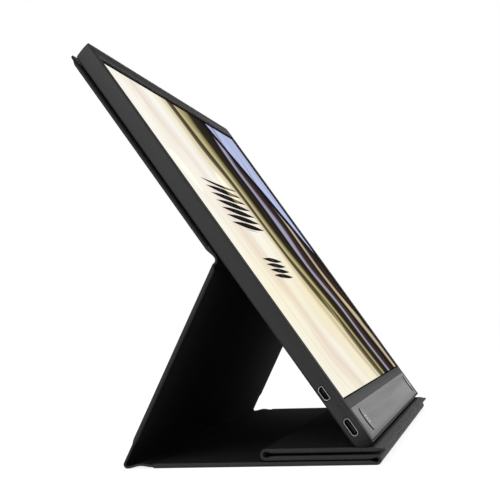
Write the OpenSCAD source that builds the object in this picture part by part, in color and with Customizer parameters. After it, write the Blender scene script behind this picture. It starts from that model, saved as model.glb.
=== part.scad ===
// Slim portable display leaning on its own folded cover.
// Millimetres. +X runs along the display's width, -Y is the side the screen faces, +Z is up.
// The origin is the middle of the base panel's underside, on the table.

/* [Display body] */
// Width of the casing beside the picture, on each side
side_border = 7.9; // [6.5:0.1:12]
// Height of the casing above the picture
top_border = 9.5; // [8.5:0.1:14]
// Thickness of the display
body_t = 8.2; // [8:0.1:12]
// Radius of the upper corners seen from the front
corner_r = 3.5; // [2:0.5:8]
// How much lower the top end lies at the back than at the front
top_drop = 2.8; // [0:0.1:3.2]
// Rounding of the back edges
back_r = 1.2; // [0.6:0.1:2]
// Rounding of the lower back edge that stands on the flap
chin_r = 6; // [4:0.5:7]
// Lean of the screen back from upright, in degrees
tilt = 34; // [26:1:40]
// Side wall of the rear shell
shell_wall = 1.6; // [1.3:0.1:1.9]
// Width of the ledge inside the shell that carries the front frame
ledge_w = 1.1; // [0.8:0.1:1.3]
// Back wall of the rear shell
back_wall = 1.2; // [0.8:0.1:1.6]
// Gap between neighbouring casing parts
part_gap = 0.15; // [0.1:0.05:0.3]

/* [Screen] */
// Width of the picture
picture_w = 344.2; // [280:0.1:370]
// Height of the picture
picture_h = 193.6; // [150:0.1:220]
// Height of the picture's lower edge above the body's lower edge
picture_up = 23.9; // [22:0.1:30]
// Black border between the picture and the frame's window
black_border = 1.6; // [1:0.1:2.5]
// How far the glass lies below the frame's face
recess = 0.9; // [0.6:0.1:1.5]
// How far the frame covers the edge of the glass
frame_lap = 1.8; // [1:0.1:2]
// Gap between the glass's upper edge and the shell
glass_gap = 0.6; // [0.3:0.1:1]
// Thickness of the glass cell
glass_t = 1.2; // [1:0.1:1.5]
// Thickness of the light guide and films
light_t = 1.4; // [1:0.1:1.5]
// Thickness of the pressed steel tray behind the light guide
tray_t = 0.3; // [0.2:0.1:0.4]

/* [Trim strip and buttons] */
// Height of the metal trim strip
trim_h = 17; // [16:0.1:17.5]
// Height of the trim strip's lower edge above the body's lower edge
trim_up = 1; // [1:0.1:1.5]
// Distance of the trim strip's ends from the body's sides
trim_side = 7; // [5:0.5:9]
// Thickness of the trim strip
trim_t = 1.4; // [1:0.1:1.6]
// Thickness of the frame's shelf under the trim strip
shelf_t = 0.8; // [0.6:0.1:1]
// Radius of a button's cap
button_r = 6; // [5:0.1:6.5]
// How far a button stands out of the trim strip
button_out = 0.6; // [0.4:0.1:0.8]
// Travel of a button
button_travel = 0.35; // [0.2:0.05:0.4]
// Running gap around a button
button_gap = 0.15; // [0.1:0.05:0.3]
// Height of the buttons' centres above the body's lower edge
button_up = 9.7; // [9:0.1:10.5]
// Distance of the menu button's centre from the body's left side
menu_in = 31; // [22:0.5:60]
// Distance of the power button's centre from the body's right side
power_in = 20.5; // [18:0.5:60]

/* [Sockets] */
// Height of the USB-C socket's centre above the body's lower edge
usb_up = 11.1; // [10.6:0.1:13]
// Depth of the USB-C socket's centre behind the front
usb_deep = 4.3; // [4.2:0.1:4.6]
// Length of the USB-C socket's mouth, outside its metal
usb_len = 9; // [8.9:0.1:9.1]
// Width of the USB-C socket's mouth, outside its metal
usb_wide = 3.2; // [3.1:0.1:3.3]
// Depth of both sockets into the body
socket_in = 7.4; // [6.5:0.1:8]
// Thickness of the sockets' metal
socket_metal = 0.3; // [0.2:0.05:0.35]
// Height of the micro video socket's centre above the body's lower edge
video_up = 30.3; // [28:0.1:34]
// Depth of the micro video socket's centre behind the front
video_deep = 5.5; // [5.4:0.05:5.5]
// Length of the micro video socket's mouth, outside its metal
video_len = 7; // [6.6:0.1:7.2]
// Width of the micro video socket's mouth, outside its metal
video_wide = 2.9; // [2.7:0.1:2.9]
// Dark gap between a socket's metal and the shell
socket_gap = 0.35; // [0.2:0.05:0.4]

/* [Boards] */
// Length of the main board along the display's width
board_len = 104; // [80:1:120]
// Height of the main board along the face
board_high = 52; // [44:1:60]
// Thickness of the circuit boards
board_t = 0.8; // [0.6:0.1:1]
// Height of the screen's driver board along the face
driver_high = 8; // [6:0.5:9]
// Gap along the width between the main board and the driver board
driver_gap = 13; // [8:1:20]
// Distance of the driver board's end from the side of the glass
driver_in = 45.5; // [30:0.5:60]
// Width of the ribbon cable between the two boards
cable_w = 6; // [4:0.5:8]
// How far the ribbon cable lies on each board
cable_lap = 12; // [8:0.5:16]
// Length of the power button's own board
key_board_len = 18; // [16:0.5:24]
// Radius of the board screws
screw_r = 0.8; // [0.7:0.1:1]
// Radius of the board screws' heads
head_r = 1.7; // [1.5:0.1:2]
// Width of the shell's inner ribs
rib_w = 1.2; // [1:0.1:2]

/* [Cover panels] */
// Thickness of a stiff cover panel
panel_t = 2; // [1.7:0.1:3]
// Thickness of the leather-like outer skin
skin_t = 0.6; // [0.4:0.1:0.8]
// Thickness of the soft lining
lining_t = 0.4; // [0.3:0.1:0.6]
// Thickness of the flexible strips at the folds
strip_t = 1; // [0.8:0.1:1.2]
// Thickness of the two folded loops at the base
loop_t = 1.3; // [1:0.1:1.5]
// Length of the sloping end where a panel thins to a strip
taper = 3; // [1.5:0.5:4]
// Width of the turned skin edge around the lining
rim_w = 1.6; // [1.2:0.1:3]
// Radius of the cover's outer corners seen flat
cover_corner_r = 4; // [2:0.5:8]
// Length of the base panel
base_len = 103; // [98:1:108]
// Length of the middle flap
middle_len = 50.1; // [44:1:54]
// Length of the front flap with its thin hem
flap_len = 54.2; // [52:0.1:58]
// Length of the front flap's thin hem
flap_hem = 1.5; // [1:0.1:4]
// Length of the upper back panel's thin hem
upper_hem = 2.5; // [1:0.5:8]
// Width of the limp spine strip
spine_w = 11.6; // [10:0.1:14]
// Gap between the base panel and the middle flap lying on it
fold_gap_low = 0.6; // [0.3:0.05:1]
// Gap between the middle flap and the front flap lying on it
fold_gap_high = 1.3; // [0.6:0.05:2]

/* [Stand] */
// How far the display's lower front edge lies behind the base panel's front end
set_back = 1.3; // [0:0.1:6]
// Height of the leg's upper fold along the display's face
fold_up = 108; // [100:1:116]
// Height above the fold where the upper back panel starts
upper_gap = 7.5; // [6:0.5:10]
// Length of limp strip between the foot fold and the leg
leg_low = 9; // [6:0.5:12]
// Length of limp strip between the leg and the upper fold
leg_high = 2.4; // [2.2:0.1:4]
// Bend radius of the upper fold at the middle of its strip
upper_bend = 2.5; // [1.5:0.1:2.6]
// Thickness of the adhesive pad between the display and the cover
pad_t = 0.9; // [0.4:0.1:1.5]
// Bend radius of the foot fold at the middle of its strip
foot_bend = 1.4; // [1.2:0.1:1.8]
// Radius of the magnets in the front flap
magnet_r = 5; // [3:0.5:7]
// Clearance between the display's chin and the flap it stands on
rest_gap = 0.05; // [0.02:0.01:0.2]

/* [Hidden] */
eps = 0.01;
$fn = 64;

casing_colour = "#47474a";
frame_colour = "#434345";
trim_colour = "#8c8c8f";
leather_colour = "#2a2a2c";
lining_colour = "#141415";
board_colour = "#6b5b45";
metal_colour = "#b9b9bd";
pcb_colour = "#1d5a3a";

// Heights of the folded base layers
middle_z = panel_t + fold_gap_low;
flap_z = middle_z + panel_t + fold_gap_high;
flap_top = flap_z + panel_t;

// Places along Y of the base layers' ends
base_front = -base_len / 2;
base_rear = base_len / 2;
middle_rear = base_front + middle_len;

// Lower front edge of the display: its rounded chin touches the flap's top
edge_y = base_front + set_back;
edge_z = flap_top + rest_gap + body_t * sin(tilt) - chin_r * (cos(tilt) + sin(tilt) - 1);

// Depths behind the display's face
glass_back = recess + glass_t;
light_back = glass_back + light_t;
tray_back = light_back + tray_t;
cavity_back = body_t - back_wall;
upper_in = body_t + pad_t;
upper_mid = upper_in + panel_t / 2;

// Overall size of the display
body_w = picture_w + 2 * side_border;
body_h = picture_up + picture_h + top_border;

// Sizes of the window, the glass and the inset frame
window_w = picture_w + 2 * black_border;
window_low = picture_up - black_border / 2;
window_high = picture_up + picture_h + black_border;
glass_w = window_w + 2 * frame_lap;
glass_low = window_low - frame_lap;
glass_high = window_high + frame_lap;
lip = trim_up - 2 * part_gap;
opening_w = body_w - 2 * shell_wall;
opening_high = body_h - shell_wall;
opening_r = corner_r - shell_wall;
frame_w = opening_w - 2 * part_gap;
cavity_high = glass_high + glass_gap;
frame_low = lip + part_gap;
frame_high = opening_high - part_gap;
trim_w = body_w - 2 * trim_side;
trim_high = trim_up + trim_h;
skirt_deep = trim_t + shelf_t;

// Direction up the display's face and backwards into its depth, along Y and Z
up_dir = [sin(tilt), cos(tilt)];
deep_dir = [cos(tilt), -sin(tilt)];

// Place along Y and Z of a height up the face and a depth behind it
function on_face(up, deep) = [edge_y, edge_z] + up * up_dir + deep * deep_dir;

// Fold axis of the leg on the display's back, and the foot's bend centre
fold_axis = on_face(fold_up, upper_mid);
foot_centre = [base_rear + spine_w, foot_bend + strip_t / 2 + rest_gap];
leg_run = fold_axis - foot_centre;
leg_reach = norm(leg_run);
leg_angle = atan2(leg_run[1], leg_run[0]) + asin(foot_bend / leg_reach);
leg_dir = [cos(leg_angle), sin(leg_angle)];
leg_out = [sin(leg_angle), -cos(leg_angle)];
leg_start = foot_centre + foot_bend * leg_out;
leg_top = sqrt(leg_reach * leg_reach - foot_bend * foot_bend);
leg_len = leg_top - leg_low - leg_high;

// Upper fold: the strip leaves the leg, bends, and runs up the display's back
fold_turn = leg_angle - 90 + tilt;
strip_deep = upper_in + strip_t / 2;
fold_corner = fold_axis + (upper_mid - strip_deep) / sin(fold_turn) * leg_dir;
fold_tangent = upper_bend * tan(fold_turn / 2);
bend_start = fold_corner - fold_tangent * leg_dir;
bend_end = fold_corner + fold_tangent * up_dir;
bend_centre = bend_start + upper_bend * leg_out;

// The upper panel starts above the fold and ends at the display's top
upper_start = fold_up + upper_gap;
upper_len = body_h - upper_start;

// Boards' corner, depths and screw places
board_x = -body_w / 2 + shell_wall + ledge_w + 0.3;
board_low = 5.8;
board_deep = usb_deep + usb_wide / 2;
board_back = board_deep + board_t;
main_end = board_x + board_len;
driver_x = main_end + driver_gap;
driver_len = glass_w / 2 - driver_in - driver_x;
board_screw_places = [
    for (x = [6, board_len - 6], y = [14.5, board_high - 5]) [board_x + x, board_low + y]
];
menu_x = menu_in - body_w / 2;
power_x = body_w / 2 - power_in;
button_places = [menu_x, power_x];
stem_deep = board_deep - 1.5;
switch_top = stem_deep + button_travel + 0.05;

// Moves children drawn on the display's own face plane to where the display leans:
// x along the width, y up the face, z out of the screen
module on_display() {
    translate([0, edge_y, edge_z])
        rotate([90 - tilt, 0, 0])
            children();
}

// Extrudes an outline drawn along Y and Z over the cover's full width
module across() {
    translate([-body_w / 2, 0, 0])
        rotate([90, 0, 90])
            linear_extrude(body_w)
                children();
}

// Rectangle with its two upper corners rounded, centred along X
module topped_rect(w, low, high, r) {
    translate([-w / 2, low]) square([w, high - r - low]);
    translate([-w / 2 + r, high - r]) square([w - 2 * r, r]);
    for (side = [-1, 1])
        translate([side * (w / 2 - r), high - r]) circle(r = r);
}

// Corner waste outside a circle of radius r, in the quadrant a pair of signs points to
module corner_waste(r, sx, sy) {
    difference() {
        translate([sx > 0 ? 0 : -r - 1, sy > 0 ? 0 : -r - 1]) square(r + 1);
        circle(r = r);
    }
}

// Waste outside a circle of radius r, from the direction +X to the direction turn
module blunt_waste(r, turn) {
    reach = r + 1;
    difference() {
        polygon([[0, 0], [reach, 0], [reach, reach * tan(turn / 2)], reach * [cos(turn), sin(turn)]]);
        circle(r = r);
    }
}

// Side outline of the body, depth along +X and height along +Y, its top end sloping back
module side_outline() {
    slope = norm([body_t, top_drop]);
    difference() {
        polygon([[0, 0], [body_t, 0], [body_t, body_h - top_drop], [0, body_h]]);
        translate([body_t - chin_r, chin_r]) corner_waste(chin_r, 1, -1);
        translate([body_t - back_r, body_h - top_drop - back_r * (slope - top_drop) / body_t])
            blunt_waste(back_r, atan2(body_t, top_drop));
    }
}

// Side outline of the hollow behind the front frame
module hollow_outline() {
    difference() {
        translate([0, back_wall]) square([cavity_back, cavity_high - back_wall]);
        translate([body_t - chin_r, chin_r]) corner_waste(chin_r - back_wall, 1, -1);
    }
}

// Carries a side outline across a width
module side_solid(w) {
    translate([-w / 2, 0, 0])
        rotate([0, 90, 0])
            linear_extrude(w)
                children();
}

// Outline of the body seen from above, with its back edges rounded
module plan_outline() {
    difference() {
        translate([-body_w / 2, -body_t]) square([body_w, body_t]);
        for (side = [-1, 1])
            translate([side * (body_w / 2 - back_r), -body_t + back_r])
                corner_waste(back_r, side, -1);
    }
}

// Box on the display: x from, height from, front depth, then the three sizes
module face_box(x, up, deep, w, h, d) {
    translate([x, up, -deep - d]) cube([w, h, d]);
}

// Mouth of the USB-C socket, grown by g
module usb_mouth(g) {
    w = usb_wide + 2 * g;
    l = usb_len + 2 * g;
    for (end = [-1, 1])
        translate([0, end * (l - w) / 2]) circle(d = w);
    square([w, l - w], center = true);
}

// Mouth of the micro video socket, grown by g: its back corners are cut off
module video_mouth(g) {
    w = video_wide / 2 + g;
    l = video_len / 2 + g;
    cut = 0.9;
    polygon([[-w, -l], [-w, l], [w - cut, l], [w, l - cut], [w, -l + cut], [w - cut, -l]]);
}

// Runs an outline in from the display's left side, at a height and a depth
module from_left(up, deep, inward, length) {
    translate([-body_w / 2 + inward, up, -deep])
        rotate([0, 90, 0])
            linear_extrude(length)
                children();
}

// Ribs inside the shell that carry the screen's tray
module shell_ribs() {
    rib_d = cavity_back - tray_back;
    over_main = board_low + board_high + 3;
    over_driver = glass_low + driver_high + 5;
    rib_top = glass_high - 4;
    for (i = [-2.5:2.5]) {
        x = i * glass_w / 6;
        low = x < driver_x ? over_main : over_driver;
        face_box(x - rib_w / 2, low, tray_back, rib_w, rib_top - low, rib_d + eps);
    }
    for (y = [0.45, 0.8] * body_h)
        face_box(-glass_w / 2 + 4, y, tray_back, glass_w - 8, rib_w, rib_d + eps);
}

// Blocks in the chin that carry the front frame's shelf and the power button's board
module chin_blocks() {
    for (x = [-0.11, 0.11, 0.28] * body_w)
        face_box(x - 2, 7.5, skirt_deep, 4, 6, cavity_back - skirt_deep + eps);
    face_box(power_x - 7, board_low + 1, board_back, 14, 6, cavity_back - board_back + eps);
}

module rear_shell() {
    color(casing_colour)
        on_display()
            difference() {
                union() {
                    difference() {
                        intersection() {
                            side_solid(body_w) side_outline();
                            translate([0, 0, -body_t])
                                linear_extrude(body_t)
                                    topped_rect(body_w, 0, body_h, corner_r);
                            translate([0, body_h, 0])
                                rotate([90, 0, 0])
                                    linear_extrude(body_h)
                                        plan_outline();
                        }
                        // hollow behind the front frame
                        side_solid(opening_w - 2 * ledge_w) hollow_outline();
                        // opening that takes the front frame
                        translate([0, 0, -skirt_deep])
                            linear_extrude(skirt_deep + 1)
                                topped_rect(opening_w, lip, opening_high, opening_r);
                    }
                    shell_ribs();
                    chin_blocks();
                    for (p = board_screw_places)
                        translate([p[0], p[1], -cavity_back - eps])
                            cylinder(r = head_r + 0.6, h = cavity_back - board_back + eps);
                }
                from_left(usb_up, usb_deep, -1, 1 + shell_wall + ledge_w + eps) usb_mouth(socket_gap);
                from_left(video_up, video_deep, -1, 1 + shell_wall + ledge_w + eps) video_mouth(socket_gap);
                for (p = board_screw_places)
                    translate([p[0], p[1], -body_t + 0.4])
                        cylinder(r = screw_r + 0.05, h = body_t);
            }
}

module front_frame() {
    color(frame_colour)
        on_display()
            difference() {
                translate([0, 0, -skirt_deep])
                    linear_extrude(skirt_deep)
                        topped_rect(frame_w, frame_low, frame_high, opening_r - part_gap);
                // window over the picture
                face_box(-window_w / 2, window_low, -1, window_w, window_high - window_low, skirt_deep + 2);
                // pocket that clears the glass's edge
                translate([-glass_w / 2 - part_gap, glass_low - part_gap, -skirt_deep - 1])
                    cube([
                        glass_w + 2 * part_gap,
                        glass_high - glass_low + 2 * part_gap,
                        skirt_deep + 1 - recess
                    ]);
                // bed of the trim strip
                translate([-trim_w / 2 - part_gap, 0, -trim_t])
                    cube([trim_w + 2 * part_gap, trim_high + part_gap, trim_t + 1]);
                // holes for the buttons' collars
                for (x = button_places)
                    translate([x, button_up, -skirt_deep - 1])
                        cylinder(r = button_r + 1.2 + button_gap, h = skirt_deep);
            }
}

module trim_strip() {
    color(trim_colour)
        on_display()
            difference() {
                face_box(-trim_w / 2, trim_up, 0, trim_w, trim_h, trim_t);
                for (x = button_places)
                    translate([x, button_up, -trim_t - 1])
                        cylinder(r = button_r + button_gap, h = trim_t + 2);
            }
}

// One flat layer of the screen
module screen_layer(front, thick, shrink) {
    w = glass_w - 2 * shrink;
    h = glass_high - glass_low - 2 * shrink;
    on_display() face_box(-w / 2, glass_low + shrink, front, w, h, thick);
}

module lcd_panel() {
    color("#101114") screen_layer(recess, glass_t, 0);
}

module backlight_unit() {
    color("#e8e8e2") screen_layer(glass_back, light_t, 0.6);
}

module panel_tray() {
    color(metal_colour) screen_layer(light_back, tray_t, 0.2);
}

module driver_board() {
    color(pcb_colour)
        on_display() face_box(driver_x, glass_low + 1, tray_back, driver_len, driver_high, board_t);
}

// Flat ribbon that lies on the main board, slopes up, and lies on the driver board's back
module display_cable() {
    thick = 0.25;
    low = board_deep - thick;
    high = tray_back + board_t;
    far = driver_x + cable_lap;
    near = main_end - cable_lap;
    color("#b98a3a")
        on_display()
            translate([0, glass_low + 2 + cable_w, 0])
                rotate([90, 0, 0])
                    linear_extrude(cable_w)
                        polygon([
                            [near, -low], [main_end + 1, -low], [driver_x - 2, -high], [far, -high],
                            [far, -high - thick], [driver_x - 2, -high - thick],
                            [main_end + 1, -low - thick], [near, -low - thick]
                        ]);
}

module main_board() {
    color(pcb_colour)
        on_display()
            difference() {
                face_box(board_x, board_low, board_deep, board_len, board_high, board_t);
                // notch for the sunk video socket
                face_box(
                    board_x - 1, video_up - video_len / 2 - 0.3, board_deep - 1,
                    socket_in - 1, video_len + 0.6, board_t + 2
                );
                for (p = board_screw_places)
                    translate([p[0], p[1], -board_back - 1])
                        cylinder(r = screw_r + 0.1, h = board_t + 2);
            }
}

module board_chips() {
    chips = [[28, 22, 12, 12], [48, 24, 8, 8], [64, 32, 12, 9], [80, 6, 6, 6], [34, 40, 9, 6]];
    color("#1b1b1d")
        on_display()
            for (c = chips)
                face_box(board_x + c[0], board_low + c[1], board_deep - 0.9, c[2], c[3], 0.9);
}

module board_screws() {
    color(metal_colour)
        on_display()
            for (p = board_screw_places) {
                translate([p[0], p[1], -board_deep])
                    cylinder(r = head_r, h = 0.9);
                translate([p[0], p[1], -body_t + 0.6])
                    cylinder(r = screw_r, h = body_t - 0.6 - board_deep + eps);
            }
}

// Metal mouth of a socket, closed at its inner end
module usb_c_socket() {
    color(metal_colour)
        on_display()
            difference() {
                from_left(usb_up, usb_deep, 0.2, socket_in) usb_mouth(0);
                from_left(usb_up, usb_deep, 0, socket_in - 0.6) usb_mouth(-socket_metal);
            }
}

module usb_c_tongue() {
    w = usb_len - 2.3;
    color("#0c0c0d")
        on_display() face_box(-body_w / 2 + 1.2, usb_up - w / 2, usb_deep - 0.35, socket_in - 1.8, w, 0.7);
}

module micro_video_socket() {
    color(metal_colour)
        on_display()
            difference() {
                from_left(video_up, video_deep, 0.2, socket_in) video_mouth(0);
                from_left(video_up, video_deep, 0, socket_in - 0.6) video_mouth(-socket_metal);
            }
}

module micro_video_tongue() {
    w = video_len - 2;
    color("#0c0c0d")
        on_display() face_box(-body_w / 2 + 1.2, video_up - w / 2, video_deep - 0.3, socket_in - 1.8, w, 0.6);
}

module power_board() {
    color(pcb_colour)
        on_display() face_box(power_x - key_board_len / 2, board_low, board_deep, key_board_len, 8, board_t);
}

module button_switches() {
    color(metal_colour)
        on_display()
            for (x = button_places)
                translate([x, button_up, -board_deep])
                    cylinder(r = 2.4, h = board_deep - switch_top);
}

// Cap, retaining collar and stem of one button
module button(x) {
    collar = trim_t + button_gap;
    on_display()
        translate([x, button_up, 0]) {
            translate([0, 0, -collar])
                cylinder(r = button_r, h = collar + button_out);
            translate([0, 0, -collar - 0.5])
                cylinder(r = button_r + 0.9, h = 0.5);
            translate([0, 0, -stem_deep])
                cylinder(r = 1.6, h = stem_deep - collar - 0.5 + eps);
        }
}

module menu_button() {
    color(trim_colour) button(menu_x);
}

module power_button() {
    color(trim_colour) button(power_x);
}

module adhesive_pad() {
    low = upper_start + taper + 3;
    color("#0d0d0d")
        on_display()
            face_box(-body_w / 2 + 8, low, body_t, body_w - 16, body_h - upper_hem - taper - 3 - low, pad_t);
}

// Side outline of a panel, length along +X: skin face at 0 and lining face at panel_t.
// Each end slopes to a thickness t lying at its skin face (0), its middle (0.5)
// or its lining face (1). A hem is a straight thin length beyond the slope.
module panel_outline(length, side0, hem0, t0, side1, hem1, t1) {
    low0 = (panel_t - t0) * side0;
    low1 = (panel_t - t1) * side1;
    b = hem0 + taper;
    c = length - hem1 - taper;
    thin0 = [hem0, low0];
    thin1 = [length - hem1, low1];
    polygon(concat(
        [[0, low0]],
        hem0 > 0 ? [thin0] : [],
        side0 > 0 ? [[b, 0]] : [],
        side1 > 0 ? [[c, 0]] : [],
        hem1 > 0 ? [thin1] : [],
        [[length, low1], [length, low1 + t1]],
        hem1 > 0 ? [thin1 + [0, t1]] : [],
        side1 < 1 ? [[c, panel_t]] : [],
        side0 < 1 ? [[b, panel_t]] : [],
        hem0 > 0 ? [thin0 + [0, t0]] : [],
        [[0, low0 + t0]]
    ));
}

// Room inside a panel's turned edges, between two heights
module panel_room(length, hem0, hem1, z0, z1) {
    start = hem0 + taper + rim_w;
    end = length - hem1 - taper - rim_w;
    translate([-body_w / 2 + rim_w, start, z0])
        cube([body_w - 2 * rim_w, end - start, z1 - z0]);
}

// Skin of a panel with its turned edges, skin face down and length along +Y,
// open where the board and the lining lie
module panel_skin(length, side0, hem0, t0, side1, hem1, t1) {
    difference() {
        across() panel_outline(length, side0, hem0, t0, side1, hem1, t1);
        panel_room(length, hem0, hem1, skin_t, panel_t + 1);
    }
}

module panel_board(length, hem0, hem1) {
    panel_room(length, hem0, hem1, skin_t, panel_t - lining_t);
}

module panel_lining(length, hem0, hem1) {
    panel_room(length, hem0, hem1, panel_t - lining_t, panel_t);
}

// Rounds the corners of a panel's free end
module round_free_end(length) {
    intersection() {
        children();
        translate([0, 0, -panel_t])
            linear_extrude(3 * panel_t)
                topped_rect(body_w, -1, length, cover_corner_r);
    }
}

module at_base() {
    translate([0, base_front, 0]) children();
}

// The middle flap lies upside down on the base panel
module at_middle() {
    translate([0, middle_rear, middle_z + panel_t]) rotate([180, 0, 0]) children();
}

// The front flap lies skin down on the middle flap and runs forward
module at_flap() {
    translate([0, middle_rear, flap_z]) rotate([0, 0, 180]) children();
}

module at_leg() {
    translate([0, leg_start[0], leg_start[1]])
        rotate([leg_angle, 0, 0])
            translate([0, leg_low, -panel_t / 2])
                children();
}

module at_upper() {
    on_display()
        translate([0, upper_start, -upper_in - panel_t])
            children();
}

// Straight strip between two places at the middle of its thickness
module strip_run(from, to) {
    run = to - from;
    translate(from)
        rotate(atan2(run[1], run[0]))
            translate([0, -strip_t / 2])
                square([norm(run), strip_t]);
}

// Bent strip of thickness t around a centre, from one angle to another
module strip_bend(centre, outer, t, a0, a1) {
    reach = 2 * outer;
    wedge = [for (i = [0:4]) reach * [cos(a0 + (a1 - a0) * i / 4), sin(a0 + (a1 - a0) * i / 4)]];
    translate(centre)
        intersection() {
            difference() {
                circle(r = outer);
                circle(r = outer - t);
            }
            polygon(concat([[0, 0]], wedge));
        }
}

module upper_skin() {
    color(leather_colour)
        at_upper() round_free_end(upper_len) panel_skin(upper_len, 1, 0, strip_t, 0.8, upper_hem, strip_t);
}

module upper_board() {
    color(board_colour) at_upper() panel_board(upper_len, 0, upper_hem);
}

module upper_lining() {
    color(lining_colour) at_upper() panel_lining(upper_len, 0, upper_hem);
}

module upper_fold() {
    color(leather_colour)
        across()
            union() {
                strip_run(leg_start + (leg_top - leg_high) * leg_dir, bend_start + eps * leg_dir);
                strip_bend(bend_centre, upper_bend + strip_t / 2, strip_t, 180 - tilt, leg_angle + 90);
                strip_run(bend_end - eps * up_dir, on_face(upper_start, strip_deep));
            }
}

module leg_skin() {
    color(leather_colour) at_leg() panel_skin(leg_len, 0.5, 0, strip_t, 0.5, 0, strip_t);
}

module leg_board() {
    color(board_colour) at_leg() panel_board(leg_len, 0, 0);
}

module leg_lining() {
    color(lining_colour) at_leg() panel_lining(leg_len, 0, 0);
}

module foot_fold() {
    color(leather_colour)
        across()
            union() {
                strip_bend(foot_centre, foot_bend + strip_t / 2, strip_t, -90, leg_angle - 90);
                strip_run(leg_start - eps * leg_dir, leg_start + (leg_low - eps) * leg_dir);
            }
}

module spine_strip() {
    low = rest_gap;
    high = (panel_t - strip_t) / 2;
    color(leather_colour)
        across()
            polygon([
                [base_rear, high], [foot_centre[0], low],
                [foot_centre[0], low + strip_t], [base_rear, high + strip_t]
            ]);
}

module base_skin() {
    color(leather_colour) at_base() panel_skin(base_len, 0, 0, loop_t, 0.5, 0, strip_t);
}

module base_board() {
    color(board_colour) at_base() panel_board(base_len, 0, 0);
}

module base_lining() {
    color(lining_colour) at_base() panel_lining(base_len, 0, 0);
}

module front_fold() {
    outer = (middle_z + panel_t) / 2;
    color(leather_colour) across() strip_bend([base_front, outer], outer, loop_t, 90, 270);
}

module middle_skin() {
    color(leather_colour) at_middle() panel_skin(middle_len, 1, 0, loop_t, 0, 0, loop_t);
}

module middle_board() {
    color(board_colour) at_middle() panel_board(middle_len, 0, 0);
}

module middle_lining() {
    color(lining_colour) at_middle() panel_lining(middle_len, 0, 0);
}

module rear_fold() {
    outer = (flap_top - middle_z) / 2;
    color(leather_colour)
        across() strip_bend([middle_rear, middle_z + outer], outer, loop_t, -90, 90);
}

module flap_skin() {
    color(leather_colour)
        at_flap() round_free_end(flap_len) panel_skin(flap_len, 1, 0, loop_t, 0.5, flap_hem, strip_t);
}

// Places of the magnets across the front flap
magnet_places = [for (i = [-3:3]) i * body_w / 8];

module at_magnets() {
    at_flap()
        for (x = magnet_places)
            translate([x, (flap_len - flap_hem) / 2, skin_t])
                children();
}

module flap_board() {
    color(board_colour)
        difference() {
            at_flap() panel_board(flap_len, 0, flap_hem);
            at_magnets() translate([0, 0, -1]) cylinder(r = magnet_r + 0.3, h = panel_t + 2);
        }
}

module flap_magnets() {
    color(metal_colour)
        at_magnets() cylinder(r = magnet_r, h = panel_t - skin_t - lining_t);
}

module flap_lining() {
    color(lining_colour) at_flap() panel_lining(flap_len, 0, flap_hem);
}

rear_shell();
front_frame();
trim_strip();
lcd_panel();
backlight_unit();
panel_tray();
driver_board();
display_cable();
main_board();
board_chips();
board_screws();
usb_c_socket();
usb_c_tongue();
micro_video_socket();
micro_video_tongue();
power_board();
button_switches();
menu_button();
power_button();
adhesive_pad();
upper_skin();
upper_board();
upper_lining();
upper_fold();
leg_skin();
leg_board();
leg_lining();
foot_fold();
spine_strip();
base_skin();
base_board();
base_lining();
front_fold();
middle_skin();
middle_board();
middle_lining();
rear_fold();
flap_skin();
flap_board();
flap_lining();
flap_magnets();
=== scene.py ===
"""Portable display on its folded cover: materials, soft cover pieces, small details, light and camera.

Metres, in the CAD frame: +X along the display, -Y towards the viewer of the screen, +Z up.
"""
import bpy
import bmesh
import math
from mathutils import Matrix, Vector


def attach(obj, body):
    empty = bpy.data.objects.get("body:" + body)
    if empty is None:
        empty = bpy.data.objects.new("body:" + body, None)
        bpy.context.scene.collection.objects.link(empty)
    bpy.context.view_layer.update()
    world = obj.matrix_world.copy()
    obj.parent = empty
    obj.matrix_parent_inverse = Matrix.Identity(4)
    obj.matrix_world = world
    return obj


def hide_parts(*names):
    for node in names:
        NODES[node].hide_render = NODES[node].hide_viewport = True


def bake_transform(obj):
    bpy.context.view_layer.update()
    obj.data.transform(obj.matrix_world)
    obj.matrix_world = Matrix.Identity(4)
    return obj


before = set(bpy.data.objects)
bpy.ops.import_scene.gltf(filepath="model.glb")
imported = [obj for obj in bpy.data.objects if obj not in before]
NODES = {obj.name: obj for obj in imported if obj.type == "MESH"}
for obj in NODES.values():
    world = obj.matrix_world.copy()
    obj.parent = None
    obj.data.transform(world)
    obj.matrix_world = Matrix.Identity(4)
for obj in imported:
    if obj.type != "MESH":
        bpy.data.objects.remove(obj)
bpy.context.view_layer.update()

MM = 0.001

# ---------------------------------------------------------------- sizes, in millimetres
BODY_W, BODY_H, BODY_T = 360.0, 227.0, 8.2
TILT = math.radians(34.0)
CHIN_R = 6.0
PICTURE_W, PICTURE_H, PICTURE_UP = 344.2, 193.6, 23.9
BUTTON_UP, BUTTON_OUT, MENU_X, POWER_X = 9.7, 0.6, -149.0, 159.5
USB_UP, USB_DEEP, VIDEO_UP, VIDEO_DEEP = 11.1, 4.3, 30.3, 5.5
PANEL_T, STRIP_T, LOOP_T, TAPER, RIM_W = 2.0, 1.0, 1.3, 3.0, 1.6
FOLD_GAP_LOW, FOLD_GAP_HIGH = 0.6, 1.3
BASE_LEN, MIDDLE_LEN, FLAP_LEN, FLAP_HEM = 103.0, 50.1, 54.2, 1.5
UPPER_HEM, SPINE_W, SPINE_BOW = 2.5, 11.6, 0.9
SET_BACK, FOLD_UP, UPPER_GAP, PAD_T = 1.3, 108.0, 7.5, 0.9
LEG_LOW, LEG_HIGH, UPPER_BEND, FOOT_BEND, REST_GAP = 9.0, 2.4, 2.5, 1.4, 0.05

BASE_FRONT, BASE_REAR = -BASE_LEN / 2, BASE_LEN / 2
MIDDLE_Z = PANEL_T + FOLD_GAP_LOW
FLAP_Z = MIDDLE_Z + PANEL_T + FOLD_GAP_HIGH
FLAP_TOP = FLAP_Z + PANEL_T
MIDDLE_REAR = BASE_FRONT + MIDDLE_LEN

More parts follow.
